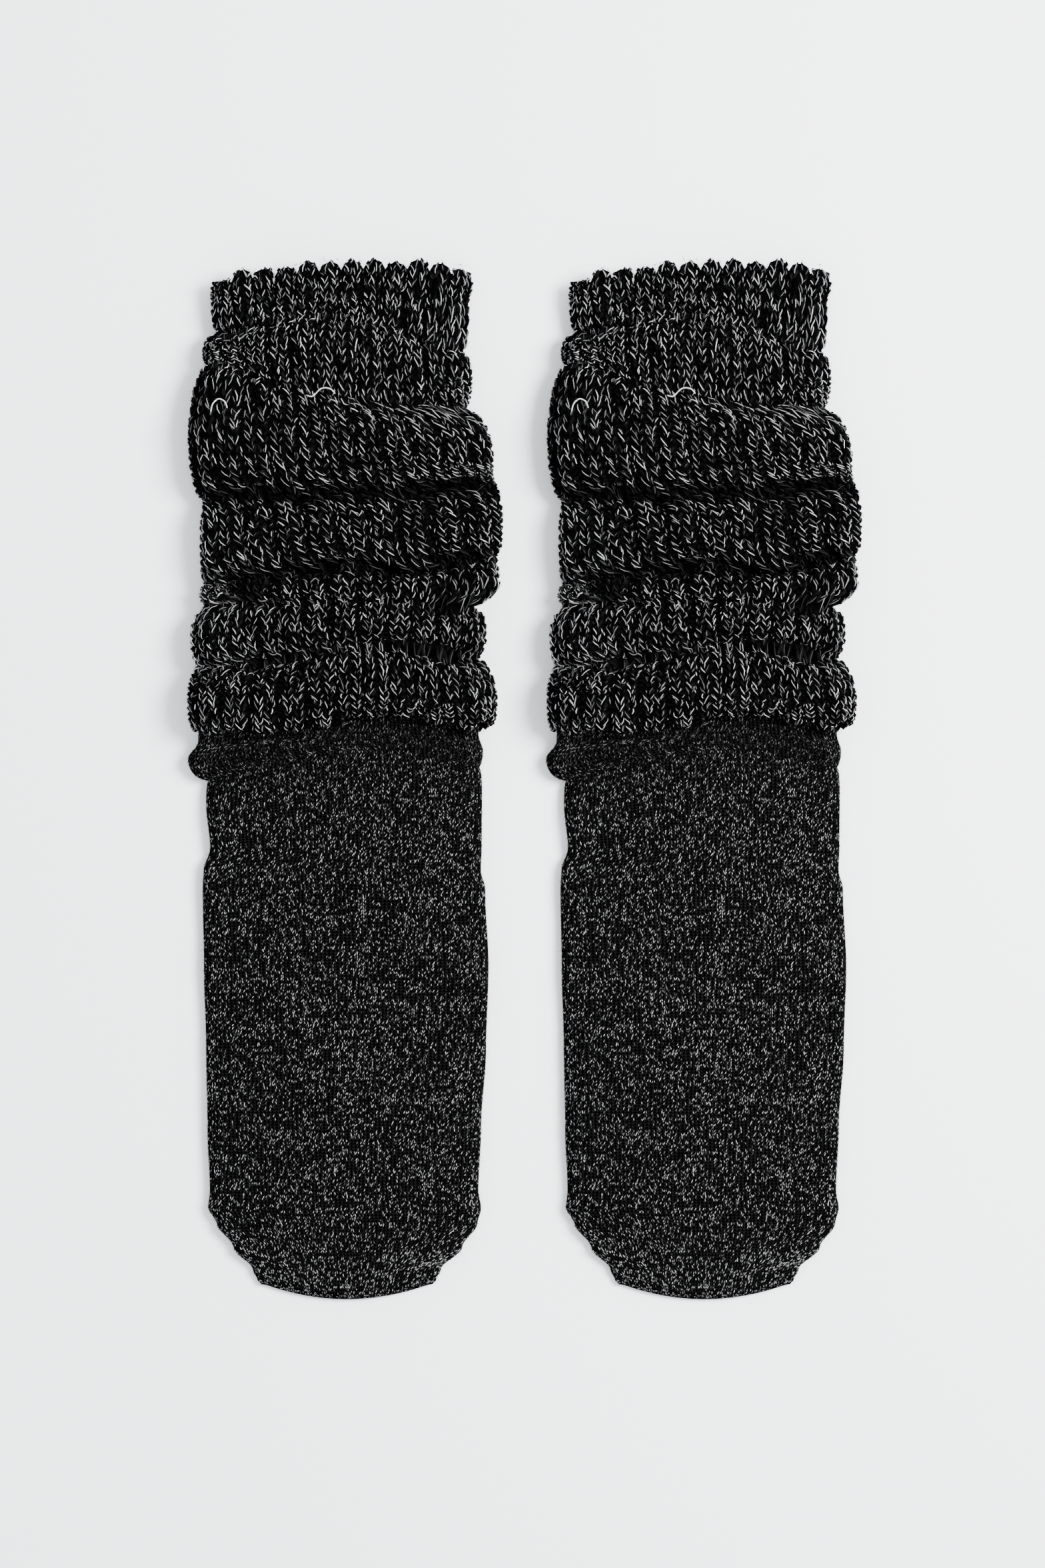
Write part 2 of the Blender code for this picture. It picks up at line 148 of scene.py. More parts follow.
FOOT_DENTS = [
    ("right of the ankle", 31, 179, 12, 2, 1.3, -0.42, 0),
    ("under the hem, middle", -2, 182, 12, 2.2, 1, 0.15, 0),
    ("ankle, left", -27, 173.5, 12, 2.4, 1, 0.28, 0),
    ("below the ankle, left", -33, 163, 10, 2.2, 0.5, 0.3, 0),
    ("heel gore, left end", -41, 144, 6, 1.6, 0.6, 0.25, 0),
    ("heel gore, right end", 41, 139.5, 6, 1.6, 0.6, -0.25, 0),
    ("toe cap", 0, 14.8, 34, 0.8, 0.45, 0, 0.0048),
]

# Knitting: ribs of two knit wales and one purl wale for the leg, and plain knit for the foot.
LEG_WALES = 78
LEG_COURSES = 76
LEG_WALE_PITCH = 2.6
LEG_COURSE_PITCH = 2.7
FOOT_WALES = 144
FOOT_COURSES = 196
FOOT_WALE_PITCH = 1.3
FOOT_COURSE_PITCH = 0.94
RIB_WALES = 3
RIB_CREST = 1.5
RIB_ROUNDNESS = 0.6
RIB_DEPTH = 1.1
LEG_SINK = 0.55
FOOT_SINK = 0.10

# The plain form: how a roll turns under its edge, in degrees, and the turns round a ring. A turn
# of 1 is the end of the upper layer, and the side fold's round goes on to the underside's start.
QUARTER_TURN = 90
TUCK = 6.0
SIDE_MIDDLE = 1.28
UNDERSIDE_START = 1.56
STEPS_A_ROW = 40
POINTS_ROUND = 801
FLAT_TOP = 0.9
LAYER = 0.25
END_STEPS = 4
FRONT_EDGE = 0.265
STEEP_EDGE = 0.24
FRONT_FADE = 0.03


def smooth(x):
    x = np.clip(x, 0.0, 1.0)
    return x * x * (3 - 2 * x)


def unit(vectors):
    return vectors / np.maximum(np.linalg.norm(vectors, axis=-1, keepdims=True), 1e-9)


def across(left, middle, right, share):
    """A curve through three numbers, for shares from -1 at the left to 1 at the right."""
    return middle + (right - left) / 2 * share + ((left + right) / 2 - middle) * share**2


def corner(x, start, reach, size):
    """Nothing up to the start, and then a smooth rise to the size over the reach."""
    return size * smooth((x - start) / reach)


def ripples(rows, at, start=0, base=0):
    """A sum of sine ripples, each with its height, its pitch and its share of the start."""
    return sum((height * np.sin(at * pitch + share * start) for height, pitch, share in rows), base)


def on_front(wale, wales, edge=FRONT_EDGE):
    """1 on the upper layer of the tube and 0 on the layer beneath."""
    return smooth((edge - np.abs(wale) / wales) / FRONT_FADE)


def turned(share, degrees):
    """How far a round of so many degrees has gone along and down at a share of its turn."""
    full = math.radians(degrees)
    part = share * full
    return np.sin(part) / math.sin(full), (1 - np.cos(part)) / (1 - math.cos(full))


def table(rows, stations):
    """The rows' numbers at fractional stations, on rounded rolls and folds."""
    numbers = np.array([row[2:] for row in rows])
    kinds = [row[1] for row in rows]
    at = np.clip(stations.astype(int), 0, len(rows) - 2)
    share = stations - at
    run = np.zeros_like(share)
    rest = np.zeros_like(share)
    for index in range(len(rows) - 1):
        here = at == index
        part = share[here]
        pair = (kinds[index], kinds[index + 1])
        if pair == ("crest", "crease"):
            run[here], rest[here] = turned(part, QUARTER_TURN + TUCK)
        elif pair == ("crest", "brim"):
            run[here], rest[here] = turned(part, QUARTER_TURN)
        elif pair == ("crease", "crest"):
            first, second = turned(1 - part, QUARTER_TURN)
            run[here], rest[here] = 1 - first, 1 - second
        else:
            run[here], rest[here] = part, smooth(part)
    blend = np.tile(rest[:, None], (1, numbers.shape[1]))
    blend[:, PLACES] = run[:, None]
    return numbers[at] + (numbers[at + 1] - numbers[at]) * blend


def rings(values, turns):
    """Points of the sock's rings, from the table's numbers and the turns round it."""
    v = values[:, :, None]
    left, middle, right, sway, edge_left, edge_right = (v[:, i] for i in range(6))
    rise_left, rise_middle, rise_right, lift = (v[:, i] for i in range(6, 10))
    turn = turns[None, :]
    side = np.sign(turn)
    size = np.abs(turn)
    beneath = side * (1 + UNDERSIDE_START - size)
    share = np.where(size <= 1, turn, np.where(size <= UNDERSIDE_START, side, beneath))
    round_left = edge_left + rise_left / 2
    round_right = edge_right - rise_right / 2
    x = (round_left + round_right) / 2 + (round_right - round_left) / 2 * share
    y = across(left, middle, right, share) + sway * np.sin(math.pi * share)
    z = across(rise_left, rise_middle, rise_right, share)
    angle = np.clip((size - 1) / (SIDE_MIDDLE - 1), 0, 2) * math.pi / 2
    round_side = (size > 1) & (size < UNDERSIDE_START)
    edge = np.where(side > 0, edge_right, edge_left)
    side_rise = np.where(side > 0, rise_right, rise_left)
    side_x = edge - side * (side_rise / 2 - np.sin(angle) * (side_rise / 2))
    side_z = (side_rise + lift) / 2 + np.cos(angle) * ((side_rise - lift) / 2)
    x = np.where(round_side, side_x, x)
    z = np.where(round_side, side_z, z)
    z = np.where(size >= UNDERSIDE_START, lift, z)
    return np.stack([x + 0 * z, y + 0 * z, z], axis=2)


def leaned(share, lean):
    """How far the ribs are pushed round the tube: fully on top, and evenly beneath."""
    left, middle, right = lean
    push = across(left, middle, right, np.clip(share / LAYER, -1, 1))
    even = (left + right) / 2
    under = np.abs(share) > LAYER
    back = np.where(under, (0.5 - np.abs(share)) / LAYER, 1.0)
    return np.where(under, even + (push - even) * smooth(back), push)


class Knit:
    """A knitted tube: points and normals by course down the tube and wale round it."""

    def __init__(self, rows, folds, hollows, wales, courses, fineness, shape):
        self.names = [row[0] for row in rows]
        self.folds = folds
        self.hollows = hollows
        self.wales = wales
        self.courses = courses
        stations = np.linspace(0, len(rows) - 1, (len(rows) - 1) * STEPS_A_ROW + 1)
        turns = np.linspace(-1 - UNDERSIDE_START, 1 + UNDERSIDE_START, POINTS_ROUND)
        top = rings(table(rows, stations), turns)[:, np.abs(turns) < FLAT_TOP]
        steps = np.linalg.norm(np.diff(top, axis=0), axis=2).mean(axis=1)
        along = np.concatenate([[0], np.cumsum(steps)])
        self.length = float(along[-1])
        self.course = np.linspace(0, courses, courses * fineness + 1)
        self.station = np.interp(self.course / courses * along[-1], along, stations)
        values = table(rows, self.station)
        dense = rings(values, turns)
        gaps = np.linalg.norm(np.diff(dense, axis=1), axis=2)
        around = np.concatenate([np.zeros((len(dense), 1)), np.cumsum(gaps, axis=1)], axis=1)
        self.girth = float(around[:, -1].mean())
        middle = around[:, POINTS_ROUND // 2]
        part = (around - middle[:, None]) / around[:, -1:]
        self.wale = np.arange(wales * fineness) / fineness - wales / 2
        share = self.wale / wales
        leans = values[:, LEAN] if values.shape[1] > LEAN.start else np.zeros((len(values), 3))
        self.points = np.zeros((len(self.course), len(self.wale), 3))
        for index, lean in enumerate(leans):
            there = share + leaned(share, lean) / around[index, -1]
            there = (there + 0.5) % 1.0 - 0.5
            for axis in range(3):
                self.points[index, :, axis] = np.interp(there, part[index], dense[index, :, axis])
        self.find_normals()
        shape(self)
        self.find_normals()

    def find_normals(self):
        p = self.points
        down = np.gradient(p, axis=0)
        round_tube = (np.roll(p, -1, axis=1) - np.roll(p, 1, axis=1)) / 2
        normal = unit(np.cross(down, round_tube))
        facing = np.sum(normal * (p - p.mean(axis=1, keepdims=True)), axis=(1, 2))
        normal[facing < 0] *= -1
        self.normals = normal

    def spot(self, course, wale):
        """Points and normals at any courses and wales, also a little past the tube's ends."""
        rows, columns = self.points.shape[:2]
        down = np.clip(course / self.courses, 0, 1) * (rows - 1)
        round_tube = ((wale / self.wales + 0.5) % 1.0) * columns
        i = np.clip(down.astype(int), 0, rows - 2)
        j = round_tube.astype(int) % columns
        k = (j + 1) % columns
        f = (down - i)[..., None]
        g = (round_tube - round_tube.astype(int))[..., None]
        result = []
        for grid in (self.points, self.normals):
            near = grid[i, j] * (1 - g) + grid[i, k] * g
            far = grid[i + 1, j] * (1 - g) + grid[i + 1, k] * g
            result.append(near * (1 - f) + far * f)
        point, normal = result
        over = (course - np.clip(course, 0, self.courses))[..., None]
        if np.any(over):
            past_end, past_start = self.slope(-1, -1 - END_STEPS)[j], self.slope(END_STEPS, 0)[j]
            point = point + np.where(over > 0, past_end, past_start) * over
        return point, unit(normal)

    def slope(self, to, start):
        """How far the cloth goes for each course between two of its rings."""
        return (self.points[to] - self.points[start]) / (self.course[to] - self.course[start])


def rib(wale):
    """1 on the crest of a rib of two knit wales, 0 on the purl wale between ribs."""
    return (0.5 + 0.5 * np.cos(2 * math.pi * (wale - RIB_CREST) / RIB_WALES)) ** RIB_ROUNDNESS


def folds_at(knit, course, wale):
    """For each fold: its course, its depth here, and the way to it in half widths."""
    near = np.clip(wale / knit.wales / LAYER, -1, 1)
    for name, left, middle, right, half_width in knit.folds:
        at = np.interp(knit.names.index(name), knit.station, knit.course)
        away = (course - at) * knit.length / knit.courses / half_width
        yield at, across(left, middle, right, near), away


# Ripples: height, pitch in turns of the sine for each wale, share of the start.
LEAST_DEPTH = 0.85
DEPTH_RIPPLES = ((0.22, 0.9, 1), (0.12, 2.1, 2))
SWAY_RIPPLES = ((0.9, 0.55, 1.7), (0.5, 1.1, 1))
CUFF_RIPPLES = ((0.75, 2.4, 0), (0.45, 5.1, 0))
STITCH_RIPPLES = ((0.11, 0.31, 1.9), (0.07, 0.83, 0.7))


def fold_depth(knit, course, wale):
    """How deep in a fold a place on the cloth is."""
    total = 0 * (course + wale)
    for at, depth, away in folds_at(knit, course, wale):
        uneven = ripples(DEPTH_RIPPLES, wale, at, LEAST_DEPTH)
        total = total + depth * uneven * np.exp(-(away**2))
    return total


SWAY_SEED = 61
SWAY_FULL_DEPTH = 2.6
SWAY_REACH = 1.7
RIB_WANDER = 0.5
RIB_CLOSING = (-1.0, 0.7)
CLOSING = 2.33


def fold_sway(knit, course, wale):
    """How far up the sock the ribs are pushed beside the folds, each rib by its own amount."""
    which = (np.floor((wale + knit.wales / 2) / RIB_WALES)).astype(int)
    count = knit.wales // RIB_WALES
    total = 0 * (course + wale)
    for index, (_, depth, away) in enumerate(folds_at(knit, course, wale)):
        pick = np.random.default_rng(SWAY_SEED + index)
        wander = pick.normal(0, RIB_WANDER, count).clip(-1, 1)[which]
        close = pick.uniform(*RIB_CLOSING, count)[which] * rib(wale)
        strong = depth / SWAY_FULL_DEPTH
        beside = np.exp(-((away / SWAY_REACH) ** 2))
        drift = wander * rib(wale) + ripples(SWAY_RIPPLES, wale, index)
        total = total + strong * drift * beside
        total = total + strong * close * CLOSING * away * np.exp(-(away**2))
    return total


def dents(hollows, x, y):
    """How deep the dents are at places on the cloth."""
    total = 0 * x
    for _, middle_x, middle_y, half_length, half_width, depth, slope, bend in hollows:
        along = x - middle_x
        line = middle_y + slope * along + bend * along**2
        away = -((along / half_length) ** 2) - ((y - line) / half_width) ** 2
        total = total + depth * np.exp(away)
    return total


def waves(seed, count, longest, shortest):
    """A smooth uneven surface as a sum of a few sine waves, worth about -1 to 1."""
    pick = np.random.default_rng(seed)
    lengths = pick.uniform(shortest, longest, count)
    headings = pick.uniform(0, math.pi, count)
    starts = pick.uniform(0, 2 * math.pi, count)

    def height(x, y):
        total = 0
        for length, heading, start in zip(lengths, headings, starts):
            along = x * math.cos(heading) + y * math.sin(heading)
            total = total + np.sin(along * 2 * math.pi / length + start)
        return total / math.sqrt(count)

    return height


# seed, number of waves, longest, shortest
leg_lumps = waves(3, 9, 34.0, 13.0)
leg_hills = waves(5, 7, 15.0, 7.0)
foot_lumps = waves(11, 8, 60.0, 22.0)
ply_patches = waves(21, 10, 26.0, 6.0)
ply_hands = waves(27, 7, 30.0, 9.0)
foot_patches = waves(23, 12, 22.0, 4.0)
foot_stripes = waves(25, 6, 9.0, 3.0)

LUMP_HEIGHT = 0.45
HILL_HEIGHT = 0.25
LUMP_DROP = 0.5
HIGHEST_LUMP = 0.15
LEVEL = 0.7
STEEP_CHANNELS = 0.5
STEEP_SINK = 0.85
LEG_LOWEST = 0.75

# The hem's lip and the cuff's scallops. A corner is a start and a reach in x, and a size.
HEM_COURSES = 5.5
HEM_TONGUE = (15, 9, 2.2)
HEM_RIPPLE = 0.9
HEM_SCALLOP = 0.8
HEM_BACK = 0.8
HEM_CORNER_UP = (43, 7, 2.0)
HEM_CORNER_IN = (42, 7, 2.2)
CUFF_COURSES = 4.0
CUFF_ROUNDNESS = 0.38
CUFF_SCALLOP = 2.5
CUFF_LEVEL = 0.6
CUFF_BACK = 1.5
CUFF_BACK_SCALLOPS = 0.3
CUFF_LEFT_DOWN = (33, 8, 2.6)
CUFF_RIGHT_DOWN = (35, 6, 1.4)
CUFF_CORNER_IN = (37, 6, 1.6)

FOOT_LUMP_HEIGHT = 0.22
FOOT_LUMP_DROP = 0.2
FOOT_TOP = 1.5
TOE_COURSES = 1.5
TOE_HEIGHT = 1.9
FOOT_LOWEST = 0.12


def shape_leg(knit):
    """Ribs, dents and the folds' true depth on the leg's plain form."""
    p = knit.points
    x, y = p[..., 0], p[..., 1]
    course, wale = knit.course[:, None], knit.wale
    front = on_front(wale, knit.wales)
    flat = smooth(np.abs(knit.normals[..., 2]) / LEVEL)
    push = LUMP_HEIGHT * leg_lumps(x, y) + HILL_HEIGHT * leg_hills(x, y)
    push = push - dents(knit.hollows, x, y)
    outer = np.minimum(push - LUMP_DROP, HIGHEST_LUMP) * front * flat
    steep = front * (1 - flat)
    channels = RIB_DEPTH * (1 - rib(wale)) * (1 + STEEP_CHANNELS * steep)
    sink = LEG_SINK * (1 - STEEP_SINK * steep) + channels
    p += knit.normals * (outer - sink)[..., None]
    p[..., 2] -= fold_depth(knit, course, wale) * front
    p[..., 1] += fold_sway(knit, course, wale) * front
    shape_hem(p, wale, front, np.maximum(0, 1 - (knit.courses - course) / HEM_COURSES))
    shape_cuff(p, wale, front, np.maximum(0, 1 - course / CUFF_COURSES))
    p[..., 2] = np.maximum(p[..., 2], LEG_LOWEST)


def shape_hem(p, wale, front, hem):
    """The hem's uneven lip, a little shorter in its middle and at its rounded corners."""
    x = p[..., 0]
    middle, width, size = HEM_TONGUE
    lip = size * np.exp(-(((x - middle) / width) ** 2)) + HEM_RIPPLE * leg_hills(x, 0 * x)
    lip = lip + corner(np.abs(x), *HEM_CORNER_UP)
    lip = lip + HEM_SCALLOP * np.sin(math.pi * wale / RIB_WALES) ** 2
    p[..., 1] += (lip + HEM_BACK * (1 - front)) * hem
    p[..., 0] -= np.sign(x) * (corner(np.abs(x), *HEM_CORNER_IN) * hem**2)


def shape_cuff(p, wale, front, cuff):
    """The cuff's scallops, a rounded top for each rib, and its rounded corners."""
    x = p[..., 0]
    tops = np.abs(np.sin(math.pi * wale / RIB_WALES)) ** CUFF_ROUNDNESS
    uneven = ripples(CUFF_RIPPLES, np.floor(wale / RIB_WALES))
    scallops = (CUFF_SCALLOP + 0.5 * uneven) * (tops - CUFF_LEVEL) + 0.45 * uneven
    scallops = scallops * (CUFF_BACK_SCALLOPS + (1 - CUFF_BACK_SCALLOPS) * front)
    corners = corner(-x, *CUFF_LEFT_DOWN) + corner(x, *CUFF_RIGHT_DOWN)
    p[..., 1] += (scallops - (corners + CUFF_BACK * (1 - front))) * cuff
    p[..., 0] -= np.sign(x) * (corner(np.abs(x), *CUFF_CORNER_IN) * cuff**2)


def shape_foot(knit):
    """Slight lumps, dents and the ankle fold on the foot, and the toe linked to one edge."""
    p = knit.points
    x, y = p[..., 0], p[..., 1]
    course, wale = knit.course[:, None], knit.wale
    push = FOOT_LUMP_HEIGHT * foot_lumps(x, y) - FOOT_LUMP_DROP - dents(knit.hollows, x, y)
    push = push * smooth(knit.normals[..., 2] * FOOT_TOP)
    p += knit.normals * (push - FOOT_SINK)[..., None]
    p[..., 2] -= fold_depth(knit, course, wale) * on_front(wale, knit.wales)
    linked = smooth((course - knit.courses + TOE_COURSES) / TOE_COURSES)
    p[..., 2] += (TOE_HEIGHT - p[..., 2]) * linked
    p[..., 2] = np.maximum(p[..., 2], FOOT_LOWEST)


leg_knit = Knit(LEG_ROWS, LEG_FOLDS, LEG_DENTS, LEG_WALES, LEG_COURSES, 4, shape_leg)
foot_knit = Knit(FOOT_ROWS, FOOT_FOLDS, FOOT_DENTS, FOOT_WALES, FOOT_COURSES, 2, shape_foot)


def place(points, shift):
    """Millimetres from the sock's own middle and toe to metres in the frame."""
    out = np.array(points, dtype=float).reshape(-1, 3)
    out[:, 0] += shift
    out[:, 1] -= TOE_TO_MIDDLE
    out[:, 2] = np.maximum(out[:, 2], TABLE_GAP)
    return out * MM


def new_object(name, data):
    thing = bpy.data.objects.new(name, data)
    bpy.context.scene.collection.objects.link(thing)
    return thing


def add_piece(name, mesh, finish):
    """A piece of the pair, with its material, on the part's one body."""
    thing = new_object(name, mesh)
    mesh.materials.append(finish)
    mesh.polygons.foreach_set("use_smooth", np.ones(len(mesh.polygons), dtype=bool))
    mesh.update()
    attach(thing, "root")
    return thing


def merge(name, groups, finish, shift):
    """One mesh of many small things, with their marks as its UV map."""
    points, faces, marks = [], [], []
    start = 0
    for group_points, group_faces, group_marks in groups:
        points.append(group_points)
        marks.append(group_marks)
        faces.extend([[v + start for v in face] for face in group_faces])
        start += len(group_points)
    mesh = bpy.data.meshes.new(name)
    mesh.from_pydata(place(np.concatenate(points), shift), [], faces)
    layer = mesh.uv_layers.new(name="OFBake")
    corners = np.zeros(len(mesh.loops), dtype=np.int32)
    mesh.loops.foreach_get("vertex_index", corners)
    uv = np.clip(np.concatenate(marks)[corners], 0.001, 0.999)
    layer.data.foreach_set("uv", uv.astype(np.float32).ravel())
    return add_piece(name, mesh, finish)


def tapered(centre, marks, ring_size):
    """Points and marks for lengths of yarn that run from a point to a point over rings."""
    count, ring_count = centre.shape[:2]
    inner = ring_count - 2
    points = np.zeros((count, 2 + inner * ring_size, 3))
    points[:, 0] = centre[:, 0]
    points[:, -1] = centre[:, -1]
    uv = np.zeros((count, 2 + inner * ring_size, 2))
    uv[:, :, 0] = marks[:, None]
    uv[:, -1, 1] = 1
    for ring in range(inner):
        at = 1 + ring * ring_size
        uv[:, at : at + ring_size, 1] = (ring + 1) / (inner + 1)
    return points, uv, inner


def repeated(points, uv, shapes):
    """Flat points, faces and marks, from one thing's faces and the points of all of them."""
    starts = np.arange(len(points))[:, None] * points.shape[1]
    faces = [face for shape in shapes for face in (starts + np.array(shape)).tolist()]
    return points.reshape(-1, 3), faces, uv.reshape(-1, 2)


def spindles(centre, side, outward, radius, marks, angles):
    """Round yarn lengths, with a corner of each ring at every angle."""
    sides = len(angles)
    points, uv, inner = tapered(centre, marks, sides)
    for ring in range(1, inner + 1):
        for corner, angle in enumerate(angles):
            offset = outward[:, ring] * math.cos(angle) + side[:, ring] * math.sin(angle)
            at = 1 + (ring - 1) * sides + corner
            points[:, at] = centre[:, ring] + offset * radius[:, ring, None]
    shapes = []
    end = points.shape[1] - 1
    last = end - sides
    pairs = [(corner, (corner + 1) % sides) for corner in range(sides)]
    for corner, after in pairs:
        shapes += [(0, 1 + after, 1 + corner), (end, last + corner, last + after)]
    for low in range(1, last, sides):
        for corner, after in pairs:
            high = low + sides
            shapes.append((low + corner, low + after, high + after, high + corner))
    return repeated(points, uv, shapes)


EDGE_DROP = 0.55


def strips(centre, outward, side, half, ridge, marks):
    """Raised tapered strokes: two edges and a ridge between two points."""
    points, uv, inner = tapered(centre, marks, 3)
    for ring in range(1, inner + 1):
        at = 1 + (ring - 1) * 3
        way = side[:, ring] * half[:, ring, None]
        drop = outward[:, ring] * (half[:, ring, None] * EDGE_DROP)
        points[:, at] = centre[:, ring] - way - drop
        points[:, at + 1] = centre[:, ring] + outward[:, ring] * ridge
        points[:, at + 2] = centre[:, ring] + way - drop
    shapes = [(0, 2, 1), (0, 3, 2)]
    end = points.shape[1] - 1
    last = end - 3
    for a in range(1, last, 3):
        b = a + 3
        shapes += [(a, a + 1, b + 1, b), (a + 1, a + 2, b + 2, b + 1)]
    shapes += [(end, last, last + 1), (end, last + 1, last + 2)]
    return repeated(points, uv, shapes)


def frames(knit, course, wale):
    """Points, outward ways and side ways along lines given by course and wale."""
    point, outward = knit.spot(course, wale)
    along = unit(np.gradient(point, axis=1))
    return point, outward, unit(np.cross(along, outward))


def every(*lists):
    """Every combination of the lists' entries, as flat arrays."""
    return [part.ravel().astype(float) for part in np.meshgrid(*lists, indexing="ij")]


# Stitches of the leg. A line is a stitch leg's rings as shares of its length.
YARN = 0.66
YARN_JITTER = 0.08
THICK_START = 1.05
THIN_END = 0.92
STITCH_SINK = -0.30
STITCH_BOW = 0.52
STITCH_START = -0.25
STITCH_REACH = 1.25
STITCH_JITTER = (0.14, 0.06)
OUTSIDE_WIDTH = 0.44
NARROWING = 0.34
BULGE = 0.05
PURL_YARN = 0.55
PURL_DOWN = np.array([0.12, -0.16, 0.12])
PURL_ROUND = np.array([-0.42, 0.0, 0.42])
PURL_RISE = np.array([-0.3, 0.2, -0.3])
COLUMN_GAP = 0.62
FRONT_LINE = np.array([0.0, 0.28, 0.68, 1.0])
BACK_LINE = np.array([0.0, 0.45, 1.0])
FRONT_WALES = LEG_WALES / 4 + 2.5
SQUARE = [0.0, math.radians(78), math.pi, math.radians(282)]
ROUND = [2 * math.pi * i / 6 for i in range(6)]

rib_starts = np.arange(-LEG_WALES / 2, LEG_WALES / 2, RIB_WALES)
knit_columns = [rib_starts + RIB_CREST - COLUMN_GAP, rib_starts + RIB_CREST + COLUMN_GAP]
knit_columns = np.sort(np.concatenate(knit_columns))
legs_course, legs_wale, legs_hand = every(np.arange(LEG_COURSES), knit_columns, [-1, 1])
rng = np.random.default_rng(7)
legs_jitter = rng.normal(0, 1, (len(legs_course), 4)).clip(-2, 2)


def leg_path(chosen, share):
    """The paths of stitch legs: from high and outside to low at the stitch's middle."""
    jitter = legs_jitter[chosen]
    wale = legs_wale[chosen][:, None]
    wide = OUTSIDE_WIDTH - NARROWING * share + BULGE * np.sin(share * 2 * math.pi)
    c = legs_course[chosen][:, None] + STITCH_START + STITCH_REACH * share
    c = c + jitter[:, :1] * STITCH_JITTER[0]
    w = wale + legs_hand[chosen][:, None] * wide + jitter[:, 1:2] * STITCH_JITTER[1]
    return c, w + ripples(STITCH_RIPPLES, c, wale)


def build_leg_yarn(name, shift, finish):
    """The black yarn: both legs of every knit stitch, and every purl stitch's bump."""
    groups = []
    front = np.abs(legs_wale) < FRONT_WALES
    for chosen, share in ((front, FRONT_LINE), (~front, BACK_LINE)):
        point, outward, side = frames(leg_knit, *leg_path(chosen, share))
        bow = np.sin(share * math.pi)[:, None]
        jitter = legs_jitter[chosen]
        taper = np.where(share > 0.5, THIN_END, THICK_START)
        thick = YARN * (1 + YARN_JITTER * jitter[:, 2:3]) * taper
        centre = point + outward * (STITCH_SINK + STITCH_BOW * bow)
        tone = 0.04 + 0.03 * jitter[:, 3]
        groups.append(spindles(centre, side, outward, thick, tone, SQUARE))
    course, wale = every(np.arange(LEG_COURSES) + 0.5, rib_starts)
    c, w = course[:, None] + PURL_DOWN, wale[:, None] + PURL_ROUND
    point, outward, side = frames(leg_knit, c, w)
    centre = point + outward * PURL_RISE[:, None]
    thick, tone = np.full(c.shape, PURL_YARN), np.full(len(c), 0.03)
    groups.append(spindles(centre, side, outward, thick, tone, SQUARE))
    return merge(name, groups, finish, shift)


# The off-white ply. A tone is a mark from black at 0 to off-white at 1, with its odds beside it.
STEPS = np.array([-0.5, 0.0, 0.5])
TAPER = np.array([0.0, 1.0, 0.0])
LEG_TONES = ([0.78, 0.50, 0.30, 0.16, 0.08], [0.25, 0.24, 0.21, 0.18, 0.12])
PURL_TONES = ([0.7, 0.4, 0.2, 0.1], [0.2, 0.25, 0.3, 0.25])
FOOT_TONES = ([0.61, 0.40, 0.25, 0.14, 0.08], [0.17, 0.23, 0.24, 0.21, 0.15])
EDGE_TONES = [0.9, 0.6, 0.3, 0.15]
BOLD_STEPS = np.array([0.0, 0.22, 0.55, 0.82, 1.0])
BOLD_SHAPE = np.array([0.0, 0.8, 1.0, 0.7, 0.0])
FAINT_STEPS = np.array([0.0, 0.5, 1.0])
STROKE_STAND = 1.02
STROKE_TUCK = 0.22
LEG_RIDGE = 0.09
SHORT_RIDGE = 0.07
FOOT_RIDGE = 0.05
LEG_SHARE = 0.72
LONG_SHARE = 0.2
FAINT_SHARE = 0.70
PURL_SHARE = 0.34
EDGE_SHARE = 0.65
FOOT_SHARE = 0.40
PUSHED_ROWS = (4.0, 9.3)
PUSHED_SLANT = 0.34
HAND_SLANT = 0.16
HAIRS = 1500
FOOT_FIRST_COURSE = 3
FOOT_LONG_SHARE = 0.12
DENT_SHADE = 1.1
SHADE_DEPTH = 2.4
SHADE_START = 0.08
SHADE_MOST = 0.93
STEEP_SHADE = 0.4
STEEP_LEVEL = 0.6
HEM_SHADOW = 0.34
HEM_SHADOW_START = 9
HEM_SHADOW_REACH = 27


def fold_shade(knit, course, wale):
    """How much of the light reaches the wool: low at the bottom of a fold."""
    spot = knit.spot(course, wale)[0]
    hollow = DENT_SHADE * dents(knit.hollows, spot[..., 0], spot[..., 1])
    deep = fold_depth(knit, course, wale) + hollow * on_front(wale, knit.wales)
    return 1 - SHADE_MOST * np.clip(deep / SHADE_DEPTH - SHADE_START, 0, 1)


def painted_flank_shade(outward, wale):
    """Painted shade: the ply's tone is darker where the front of the leg turns steeply down into a
    fold.
    """
    front = on_front(wale, LEG_WALES, STEEP_EDGE)
    return 1 - STEEP_SHADE * front * (1 - smooth(outward[:, :, 2].mean(axis=1) / STEEP_LEVEL))


